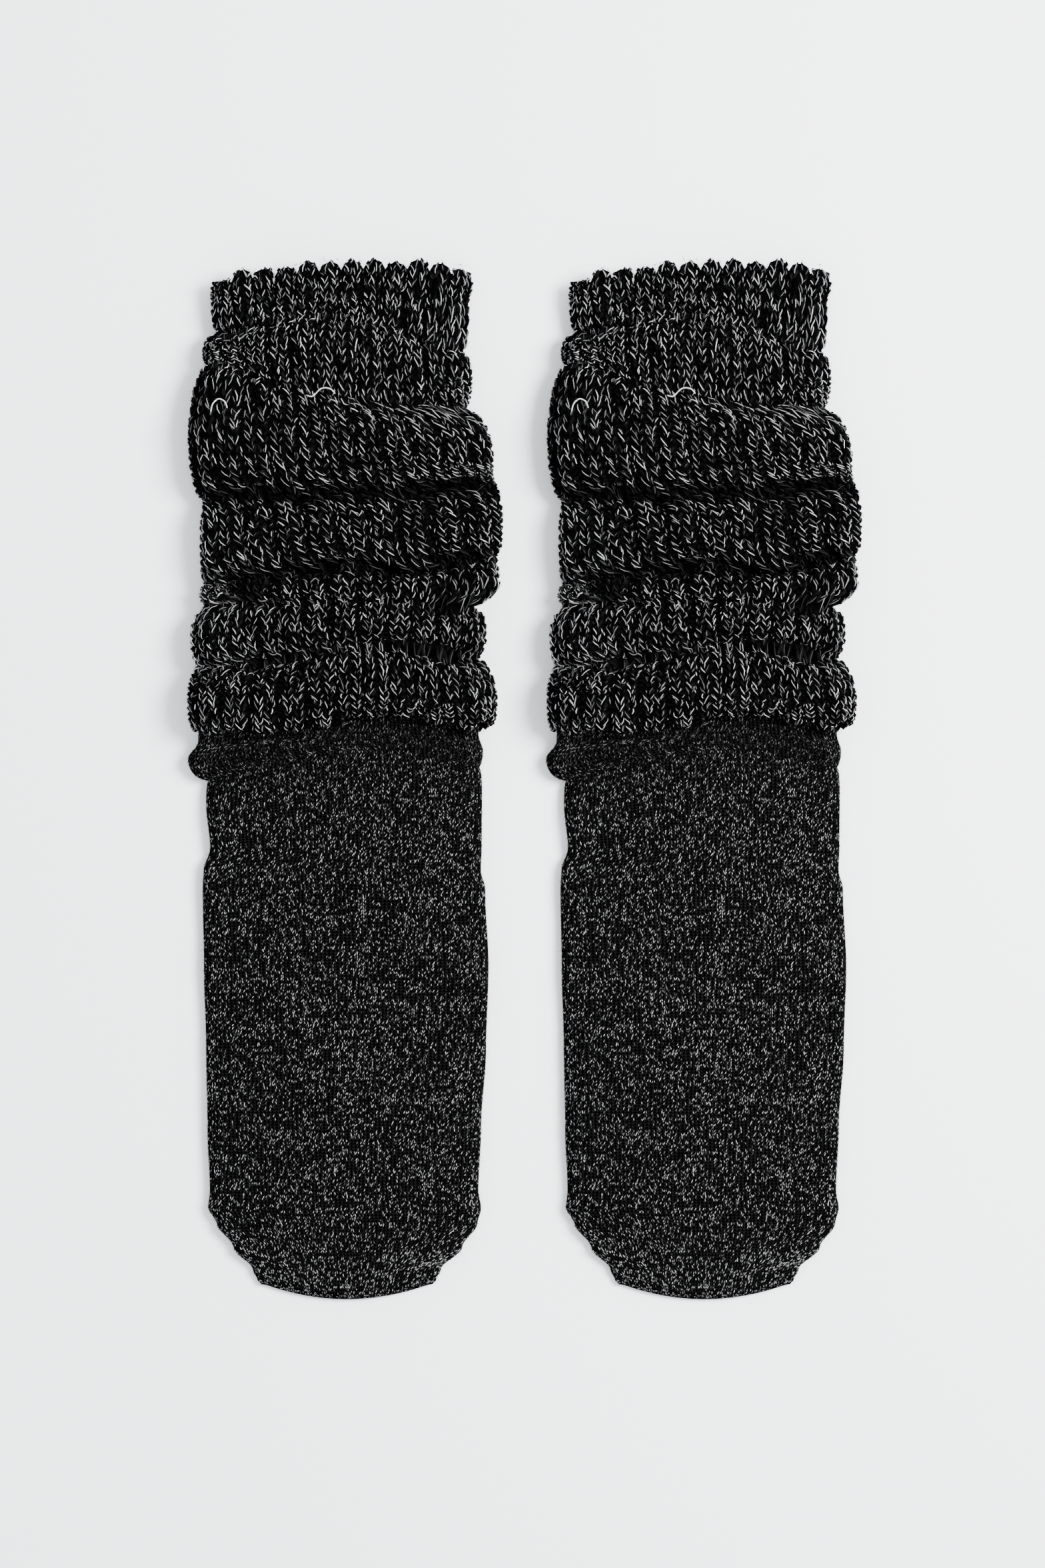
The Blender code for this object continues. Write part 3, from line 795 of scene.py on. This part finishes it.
def leg_strokes(pick, chosen, start, length, width, tones, steps, shape, twist):
    """Strokes of ply along the chosen legs of stitches."""
    jitter = legs_jitter[chosen]
    count = len(jitter)
    share = start[:, None] + length[:, None] * steps
    c, w = leg_path(chosen, share)
    bend = np.sin(steps * math.pi) * pick.normal(0, 0.05, count)[:, None]
    turn = (0.5 - steps) * twist[:, None]
    w = w - turn + bend + pick.normal(0, 0.08, count)[:, None]
    point, outward, side = frames(leg_knit, c, w)
    bow = np.sin(np.clip(share, 0, 1) * math.pi)[..., None]
    stand = YARN * (STROKE_STAND + YARN_JITTER * jitter[:, 2:3, None])
    rise = STITCH_SINK + STITCH_BOW * bow + stand
    rise[:, 0] -= STROKE_TUCK
    rise[:, -1] -= STROKE_TUCK
    half = width[:, None] * shape
    # Painted shade: the ply's tone is dimmed at the bottom of folds and dents, and on steep flanks.
    bright = tones * fold_shade(leg_knit, c, w).min(axis=1)
    bright = bright * painted_flank_shade(outward, legs_wale[chosen])
    return strips(point + outward * rise, outward, side, half, LEG_RIDGE, bright)


def short_strokes(ways, ends, middle, width, ridge, bright):
    """Short strokes of ply over three points that stand off the cloth by ends and middle."""
    point, outward, side = ways
    rise = np.array([ends, middle, ends])[:, None]
    half = width[:, None] * TAPER
    return strips(point + outward * rise, outward, side, half, ridge, bright)


def build_leg_ply(name, shift, finish):
    """The off-white ply where it shows on the stitches of the leg."""
    pick = np.random.default_rng(41)
    x, y = legs_wale * LEG_WALE_PITCH, legs_course * LEG_COURSE_PITCH
    spread = ply_patches(x, y)
    total = len(legs_course)
    tones, odds = LEG_TONES
    station = np.interp(legs_course, leg_knit.course, leg_knit.station)
    pushed = smooth(station - PUSHED_ROWS[0]) * smooth(PUSHED_ROWS[1] - station)
    slant = PUSHED_SLANT * pushed + HAND_SLANT * ply_hands(x, y)
    share = np.clip(LEG_SHARE + 0.08 * spread - legs_hand * slant, 0.2, 0.97)
    shown = pick.random(total) < share
    count = int(shown.sum())
    long = pick.random(count) < LONG_SHARE
    length = np.where(long, pick.uniform(1.0, 1.35, count), pick.uniform(0.55, 1.0, count))
    bold = leg_strokes(
        pick,
        shown,
        start=pick.uniform(-0.1, 0.3, count),
        length=length,
        width=pick.uniform(0.09, 0.165, count),
        tones=pick.choice(tones, count, p=odds) * pick.uniform(0.85, 1.0, count),
        steps=BOLD_STEPS,
        shape=BOLD_SHAPE,
        twist=pick.normal(0.10, 0.15, count) + 0.14 * pushed[shown],
    )
    faint = pick.random(total) < FAINT_SHARE
    count = int(faint.sum())
    thin = leg_strokes(
        pick,
        faint,
        start=pick.uniform(-0.1, 0.6, count),
        length=pick.uniform(0.35, 0.6, count),
        width=pick.uniform(0.07, 0.12, count),
        tones=pick.uniform(0.04, 0.30, count),
        steps=FAINT_STEPS,
        shape=TAPER,
        twist=pick.uniform(-0.25, 0.30, count),
    )
    groups = [bold, thin, purl_strokes(pick)]
    groups += [edge_strokes(pick, course) for course in (-0.15, LEG_COURSES + 0.15)]
    groups.append(fuzz(pick, leg_knit, start=0.8))
    return merge(name, groups, finish, shift)


def purl_strokes(pick):
    """Short dim strokes in the channels between the ribs."""
    course, wale = every(np.arange(LEG_COURSES * 2) / 2, rib_starts)
    shown = pick.random(len(course)) < PURL_SHARE
    course, wale = course[shown], wale[shown]
    count = len(course)
    length = pick.uniform(0.45, 0.95, count)[:, None]
    hand = pick.choice([-1.0, 1.0], count)[:, None]
    c = course[:, None] + pick.normal(0, 0.12, count)[:, None] + length * STEPS
    w = wale[:, None] + hand * (pick.uniform(0.0, 0.3, count)[:, None] - 0.16 * STEPS)
    ways = frames(leg_knit, c, w)
    width = pick.uniform(0.12, 0.19, count)
    tones, odds = PURL_TONES
    # Painted shade: the ply's tone is dimmed at the bottom of folds and dents, and on steep flanks.
    bright = pick.choice(tones, count, p=odds) * fold_shade(leg_knit, course, wale)
    bright = bright * painted_flank_shade(ways[1], wale)
    return short_strokes(ways, 0.25, 0.50, width, SHORT_RIDGE, bright)


def edge_strokes(pick, edge):
    """Strokes of ply that curl round the rib tops at the cuff or the hem's lip."""
    wale = np.arange(-LEG_WALES / 2, LEG_WALES / 2, 0.8)
    wale = wale[pick.random(len(wale)) < EDGE_SHARE]
    count = len(wale)
    w = wale[:, None] + pick.uniform(0.45, 1.0, count)[:, None] * STEPS
    c = edge + pick.normal(0, 0.25, count)[:, None] + pick.normal(0, 0.5, count)[:, None] * STEPS
    width = pick.uniform(0.10, 0.17, count)
    bright = pick.choice(EDGE_TONES, count)
    return short_strokes(frames(leg_knit, c, w), 0.35, 0.62, width, SHORT_RIDGE, bright)


def fuzz(pick, knit, start):
    """Fine short hairs that stand off the side folds."""
    hand = pick.choice([-1.0, 1.0], HAIRS)
    course = pick.uniform(0, knit.courses, HAIRS)
    wale = hand * pick.uniform(0.235, 0.30, HAIRS) * knit.wales
    point, outward = knit.spot(course[:, None], wale[:, None])
    way = unit(outward + pick.normal(0, 0.45, (HAIRS, 1, 3)))
    curl = pick.normal(0, 0.16, (HAIRS, 1, 3)) * np.array([0.0, 0.4, 1.6])[:, None]
    reach = way * pick.uniform(0.6, 1.5, (HAIRS, 1, 1)) * FAINT_STEPS[:, None]
    up = np.zeros((HAIRS, 3, 3))
    up[..., 2] = 1
    side = unit(np.cross(np.repeat(way, 3, axis=1), up))
    half = pick.uniform(0.02, 0.04, HAIRS)[:, None] * TAPER
    centre = point + outward * start + reach + curl
    return strips(centre, up, side, half, 0.03, pick.uniform(0.02, 0.25, HAIRS))


def build_foot_ply(name, shift, finish):
    """The off-white ply where it shows on the stitches of the foot."""
    pick = np.random.default_rng(43)
    wales = np.arange(-FOOT_WALES // 2, FOOT_WALES // 2)
    course, wale, hand = every(np.arange(FOOT_FIRST_COURSE, FOOT_COURSES), wales, [-1, 1])
    down = course * FOOT_COURSE_PITCH
    spread = foot_patches(wale * FOOT_WALE_PITCH, down) + 0.7 * foot_stripes(down, 0 * course)
    pitch = foot_knit.length / foot_knit.courses
    here, after = foot_knit.spot(course, wale)[0], foot_knit.spot(course + 1, wale)[0]
    stretch = np.clip(np.linalg.norm(after - here, axis=-1) / pitch, 0.7, 3.0)
    share = np.clip((FOOT_SHARE + 0.06 * spread) * stretch, 0.08, 0.9)
    shown = pick.random(len(course)) < share
    course, wale, hand, stretch = course[shown], wale[shown], hand[shown], stretch[shown]
    count = len(course)
    length = pick.uniform(0.6, 1.1, count)
    length = np.where(pick.random(count) < FOOT_LONG_SHARE, length * 1.6, length) / stretch
    c = course[:, None] + 0.5 + pick.normal(0, 0.16, count)[:, None] + length[:, None] * STEPS
    lean = pick.normal(0.26, 0.11, count)[:, None] * stretch[:, None]
    w = wale[:, None] + hand[:, None] * (0.22 - STEPS * lean * length[:, None])
    w = w - STEPS * 0.10 + pick.normal(0, 0.09, count)[:, None]
    width = pick.uniform(0.075, 0.135, count)
    tones, odds = FOOT_TONES
    bright = pick.choice(tones, count, p=odds) * fold_shade(foot_knit, course, wale)
    out_of_shadow = smooth((course - HEM_SHADOW_START) / HEM_SHADOW_REACH)
    bright = bright * (HEM_SHADOW + (1 - HEM_SHADOW) * out_of_shadow)
    strokes = short_strokes(frames(foot_knit, c, w), 0.02, 0.22, width, FOOT_RIDGE, bright)
    return merge(name, [strokes, fuzz(pick, foot_knit, start=0.0)], finish, shift)


# Loose ends of ply that stand off the third roll: x, y from the toe, height over the cloth.
LOOSE_THREADS = [
    [(-11.6, 290.2, 0.6), (-9.6, 289.4, 1.2), (-8.4, 290.8, 1.7),
     (-6.6, 292.6, 1.9), (-3.6, 292.4, 1.6), (-2.2, 290.6, 0.8)],
    [(-42.0, 284.6, 0.5), (-41.4, 287.4, 1.2), (-39.4, 289.2, 1.6),
     (-37.2, 288.0, 1.3), (-36.6, 285.8, 0.6)],
]
THREAD_RADIUS = 0.20
THREAD_POINTS = 22


def build_loose_threads(name, shift, finish):
    """The loose threads as thin round yarn."""
    heights = leg_knit.points.reshape(-1, 3)
    heights = heights[leg_knit.normals.reshape(-1, 3)[:, 2] > 0.2]
    groups = []
    for thread in LOOSE_THREADS:
        nodes = np.array(thread)
        fine = np.linspace(0, len(nodes) - 1, THREAD_POINTS)
        line = [np.interp(fine, np.arange(len(nodes)), nodes[:, axis]) for axis in range(3)]
        line = np.stack(line, axis=1)
        for _ in range(3):
            line[1:-1] = (line[:-2] + 2 * line[1:-1] + line[2:]) / 4
        for point in line:
            near = np.hypot(heights[:, 0] - point[0], heights[:, 1] - point[1]) < 1.2
            point[2] += heights[near, 2].max() + YARN
        along = unit(np.gradient(line, axis=0))
        side = unit(np.cross(along, [0.0, 0.0, 1.0]))
        outward = np.cross(side, along)
        thick = THREAD_RADIUS * np.ones((1, len(line)))
        tone = np.array([0.9])
        groups.append(spindles(line[None], side[None], outward[None], thick, tone, ROUND))
    return merge(name, groups, finish, shift)


# The cloth: rings outside and inside, points round a ring, the wall's thickness, how many courses
# before the far end the inside starts, and how many of the first courses have a ring each.
LEG_CLOTH = dict(rows_out=128, rows_in=96, columns=156, wall=1.0, short_inside=0, crowded=0)
FOOT_CLOTH = dict(rows_out=88, rows_in=76, columns=108, wall=1.0, short_inside=5, crowded=40)
OUTSIDE_MARKS = 0.86
INSIDE_START = 0.88
INSIDE_MARKS = 0.10
CLOSING_MARK = 0.97
INSIDE_MARGIN = 0.4


def cloth_rings(knit, rows_out, rows_in, columns, wall, short_inside, crowded):
    """The tube's rings and their marks, down the outside and back up the inside."""
    wale = (np.arange(columns) / columns - 0.5) * knit.wales
    ends = crowded // 5
    last = knit.courses - ends
    even = np.linspace(crowded, last, rows_out)
    for course in np.concatenate([np.arange(crowded), even, last + 1 + np.arange(ends)]):
        point = knit.spot(np.full(columns, course), wale)[0]
        yield point, course / knit.courses * OUTSIDE_MARKS
    for course in np.linspace(knit.courses - short_inside, 0, rows_in):
        there = np.clip(np.full(columns, course), INSIDE_MARGIN, knit.courses - INSIDE_MARGIN)
        point, normal = knit.spot(there, wale)
        yield point - normal * wall, INSIDE_START + INSIDE_MARKS * (1 - course / knit.courses)


def next_ring(work, edges, ring):
    """A new ring extruded from a ring's edges: its edges, and its points in the same order."""
    made = bmesh.ops.extrude_edge_only(work, edges=edges)["geom"]
    order = {vert: index for index, vert in enumerate(ring)}
    fresh = {}
    for vert in (item for item in made if isinstance(item, bmesh.types.BMVert)):
        for edge in vert.link_edges:
            other = edge.other_vert(vert)
            if other in order:
                fresh[vert] = order[other]
    edges = [item for item in made if isinstance(item, bmesh.types.BMEdge)]
    return edges, sorted(fresh, key=fresh.get)


def mark_tube(work, uv, marks, columns):
    """UV marks on the tube: round it, and down its outside and back up its inside."""
    work.verts.index_update()
    for face in work.faces:
        places = [loop.vert.index % columns for loop in face.loops]
        wraps = max(places) - min(places) > 1
        closing = max(marks[loop.vert] for loop in face.loops) > CLOSING_MARK
        for loop, place_round in zip(face.loops, places):
            u = 1.0 if wraps and place_round == 0 else place_round / columns
            v = 1.0 if closing and marks[loop.vert] < 0.5 else marks[loop.vert]
            loop[uv].uv = (u, v)


def build_cloth(name, knit, shift, finish, form):
    """The knitted wall as one closed tube, from a ring that is extruded and bridged round."""
    columns = form["columns"]
    work = bmesh.new()
    bmesh.ops.create_circle(work, cap_ends=False, segments=columns, radius=1.0)
    uv = work.loops.layers.uv.new("OFBake")
    ring, edges = list(work.verts), list(work.edges)
    first = ring
    marks = {}
    for index, (points, mark) in enumerate(cloth_rings(knit, **form)):
        if index > 0:
            edges, ring = next_ring(work, edges, ring)
        for vert, spot in zip(ring, place(points, shift)):
            vert.co = Vector(spot)
            marks[vert] = mark
    for index in range(columns):
        after = (index + 1) % columns
        work.faces.new((ring[index], ring[after], first[after], first[index]))
    bmesh.ops.recalc_face_normals(work, faces=work.faces)
    mark_tube(work, uv, marks, columns)
    mesh = bpy.data.meshes.new(name)
    work.to_mesh(mesh)
    work.free()
    return add_piece(name, mesh, finish)


def set_inputs(node, values):
    for name, value in values.items():
        node.inputs[name].default_value = value


def matt_finish(name, roughness, specular=0.0):
    """A new matt material, with its nodes and its shader."""
    finish = bpy.data.materials.new(name)
    finish.use_nodes = True
    shader = finish.node_tree.nodes["Principled BSDF"]
    set_inputs(shader, {"Roughness": roughness, "Specular IOR Level": specular})
    return finish, finish.node_tree, shader


def marks_on(tree):
    """The two marks in the piece's own UV map."""
    mark = tree.nodes.new("ShaderNodeUVMap")
    mark.uv_map = "OFBake"
    split = tree.nodes.new("ShaderNodeSeparateXYZ")
    tree.links.new(mark.outputs["UV"], split.inputs[0])
    return split.outputs[0], split.outputs[1]


def maths(tree, operation, first, second):
    """One maths node, with each input a number or a socket."""
    node = tree.nodes.new("ShaderNodeMath")
    node.operation = operation
    for socket, value in zip(node.inputs, (first, second)):
        if isinstance(value, float):
            socket.default_value = value
        else:
            tree.links.new(value, socket)
    return node.outputs[0]


def colour_by(tree, shader, factor, dark, pale, start=0.0, end=1.0):
    """The shader's colour, from dark at the start of the factor to pale at its end."""
    ramp = tree.nodes.new("ShaderNodeValToRGB")
    low, high = ramp.color_ramp.elements
    low.position, low.color = start, (*dark, 1)
    high.position, high.color = end, (*pale, 1)
    tree.links.new(factor, ramp.inputs[0])
    tree.links.new(ramp.outputs[0], shader.inputs["Base Color"])


def wool_finish(name, dark, pale):
    """Matt wool that is black at mark 0 and off-white at mark 1."""
    finish, tree, shader = matt_finish(name, roughness=0.9)
    colour_by(tree, shader, marks_on(tree)[0], dark, pale)
    return finish


def cloth_finish(name, dark, lighter, scale, wales, courses):
    """Black knitted cloth, a little uneven in tone, with the fine relief of its stitches and
    painted shade in its grooves.
    """
    finish, tree, shader = matt_finish(name, roughness=0.92)
    round_tube, down = marks_on(tree)
    column = maths(tree, "FRACT", maths(tree, "MULTIPLY", round_tube, float(wales)), 0.0)
    arm = maths(tree, "ABSOLUTE", maths(tree, "SUBTRACT", column, 0.5), 0.0)
    row = maths(tree, "MULTIPLY", down, courses / OUTSIDE_MARKS)
    slanted = maths(tree, "MULTIPLY", maths(tree, "ADD", row, arm), 2 * math.pi)
    wave = maths(tree, "MULTIPLY", maths(tree, "SINE", slanted, 0.0), 0.25)
    ridge = maths(tree, "SUBTRACT", 0.6, maths(tree, "MULTIPLY", arm, 1.2))
    stitch = maths(tree, "ADD", wave, ridge)
    relief = tree.nodes.new("ShaderNodeBump")
    set_inputs(relief, {"Strength": 0.8, "Distance": 0.0002})
    tree.links.new(stitch, relief.inputs["Height"])
    tree.links.new(relief.outputs["Normal"], shader.inputs["Normal"])
    spot = tree.nodes.new("ShaderNodeTexCoord")
    noise = tree.nodes.new("ShaderNodeTexNoise")
    set_inputs(noise, {"Scale": scale, "Detail": 4})
    tree.links.new(spot.outputs["Object"], noise.inputs["Vector"])
    # Painted shade: the colour follows the stitch relief, darker in its grooves than on its ridges;
    # the noise is uneven tone.
    tone = maths(tree, "MULTIPLY", noise.outputs["Fac"], stitch)
    colour_by(tree, shader, tone, dark, lighter, start=0.05, end=0.50)
    return finish


# The leg's cloth has finer courses than its yarn stitches, as it only shows between them.
LEG_CLOTH_COURSES = 98

leg_cloth_finish = cloth_finish(
    "black rib cloth", (0.0003, 0.0003, 0.0004), (0.0020, 0.0020, 0.0022),
    scale=300, wales=LEG_WALES, courses=LEG_CLOTH_COURSES,
)
foot_cloth_finish = cloth_finish(
    "black fine cloth", (0.0002, 0.0002, 0.0002), (0.0060, 0.0060, 0.0061),
    scale=500, wales=FOOT_WALES, courses=FOOT_COURSES,
)
yarn_finish = wool_finish("black yarn", (0.0006, 0.0006, 0.0007), (0.03, 0.03, 0.03))
ply_finish = wool_finish("off-white ply", (0.002, 0.002, 0.002), (0.56, 0.56, 0.57))

for side_name, shift in SIDES:
    leg_cloth = build_cloth(
        f"leg_{side_name}_cloth", leg_knit, shift, leg_cloth_finish, LEG_CLOTH
    )
    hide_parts(f"leg_{side_name}_front", f"leg_{side_name}_back")
    foot_cloth = build_cloth(
        f"foot_{side_name}_cloth", foot_knit, shift, foot_cloth_finish, FOOT_CLOTH
    )
    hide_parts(f"foot_{side_name}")
    leg_yarn = build_leg_yarn(f"leg_{side_name}_stitches", shift, yarn_finish)
    leg_ply = build_leg_ply(f"leg_{side_name}_ply", shift, ply_finish)
    foot_ply = build_foot_ply(f"foot_{side_name}_ply", shift, ply_finish)
    threads = build_loose_threads(f"leg_{side_name}_loose_threads", shift, ply_finish)

# The pale table, the light and the camera, in metres.
TABLE_COLOUR = (0.89, 0.907, 0.94, 1)
TABLE_SIZE = 4.0
KEY_SPOT = (0.75, 0.25, 1.0)
KEY_SIZE = 0.6
KEY_POWER = 64.0
ROOM_COLOUR = (0.97, 0.985, 1.0, 1)
ROOM_STRENGTH = 1.97
SENSOR_HEIGHT = 36.0
CAMERA_HEIGHT = 1.60
CAMERA_Y = -0.0017
FRAME_HEIGHT = 0.5057

table_finish, _, table_shader = matt_finish("pale table", roughness=0.9, specular=0.1)
set_inputs(table_shader, {"Base Color": TABLE_COLOUR})
bpy.ops.mesh.primitive_plane_add(size=TABLE_SIZE, location=(0, 0, 0))
floor = bpy.context.object
floor.name = "table"
floor.data.materials.append(table_finish)

key = bpy.data.lights.new("soft key", "AREA")
key.shape = "DISK"
key.size = KEY_SIZE
key.energy = KEY_POWER
lamp = new_object("soft key", key)
lamp.location = KEY_SPOT
lamp.rotation_euler = (-Vector(KEY_SPOT)).to_track_quat("-Z", "Y").to_euler()

world = bpy.data.worlds.new("soft room")
world.use_nodes = True
background = world.node_tree.nodes["Background"]
set_inputs(background, {"Color": ROOM_COLOUR, "Strength": ROOM_STRENGTH})
bpy.context.scene.world = world

lens = bpy.data.cameras.new("camera")
lens.sensor_fit = "VERTICAL"
lens.sensor_height = SENSOR_HEIGHT
lens.lens = SENSOR_HEIGHT * CAMERA_HEIGHT / FRAME_HEIGHT
eye = new_object("camera", lens)
eye.location = (0.0, CAMERA_Y, CAMERA_HEIGHT)
bpy.context.scene.camera = eye
